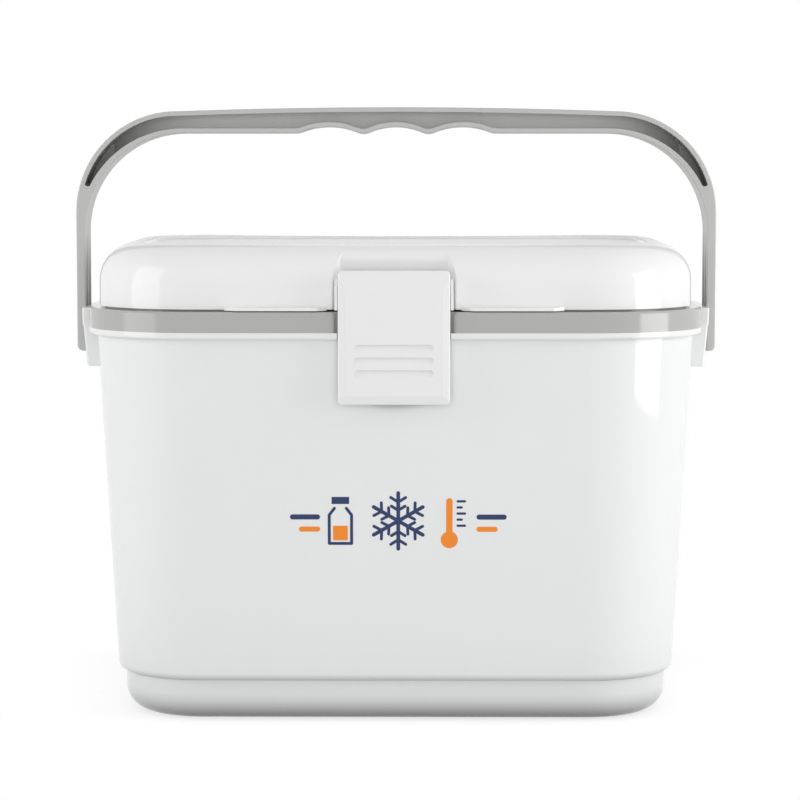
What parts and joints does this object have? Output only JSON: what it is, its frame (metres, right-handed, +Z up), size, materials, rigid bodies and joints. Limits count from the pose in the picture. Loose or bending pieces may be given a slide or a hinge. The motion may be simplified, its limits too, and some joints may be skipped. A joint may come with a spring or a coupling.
{
  "type": "vaccine carrier",
  "caption": "Insulated vaccine carrier with a hinged lid, front latch, swinging bail handle and ice packs around a cold chamber.",
  "frame": {"origin": "middle of the bounding box's base, on the surface the carrier stands on", "axes": "+X along the long side to the right of a person facing the latch, +Y to the back, where the lid's hinge is, and +Z up"},
  "size_m": [0.336, 0.2086, 0.3113],
  "materials": {
    "shell_white": "gloss",
    "liner_white": "satin",
    "band_grey": "gloss",
    "handle_grey": "satin",
    "foam": "matte",
    "gasket": "matte",
    "steel": "satin",
    "pack_shell": "satin",
    "pack_cap": "satin"
  },
  "bodies": {
    "box": {"outer_tub": "shell_white", "tub_scoop": "shell_white", "tub_lip": "shell_white", "foam_fill_plug": "liner_white", "tub_insulation": "foam", "inner_liner": "liner_white", "rim_band": "band_grey", "handle_bracket_left": "shell_white", "handle_bracket_right": "shell_white", "pivot_cap_left": "shell_white", "pivot_cap_right": "shell_white", "bracket_screws": "steel", "hinge_pin_left": "steel", "hinge_pin_right": "steel", "ice_pack_front": "pack_shell", "ice_pack_cap_front": "pack_cap", "ice_pack_rear": "pack_shell", "ice_pack_cap_rear": "pack_cap", "ice_pack_left": "pack_shell", "ice_pack_cap_left": "pack_cap", "ice_pack_right": "pack_shell", "ice_pack_cap_right": "pack_cap"},
    "lid": {"lid_shell": "shell_white", "lid_insulation": "foam", "lid_liner": "liner_white", "lid_fill_plug": "liner_white", "lid_gasket": "gasket", "latch_pin": "steel"},
    "latch": {"latch": "shell_white"},
    "handle": {"handle": "handle_grey"}
  },
  "joints": [
    {"name": "lid_hinge", "type": "hinge", "parent": "box", "child": "lid", "pos_m": [0, 0.1, 0.2032], "axis": [-1, 0, 0], "range_deg": [0, 21.5]},
    {"name": "latch_swing", "type": "hinge", "parent": "lid", "child": "latch", "pos_m": [0, -0.0995, 0.2222], "axis": [-1, 0, 0], "range_deg": [0, 110]},
    {"name": "handle_swing", "type": "hinge", "parent": "box", "child": "handle", "pos_m": [0, 0, 0.1915], "axis": [-1, 0, 0], "range_deg": [0, 110]}
  ]
}
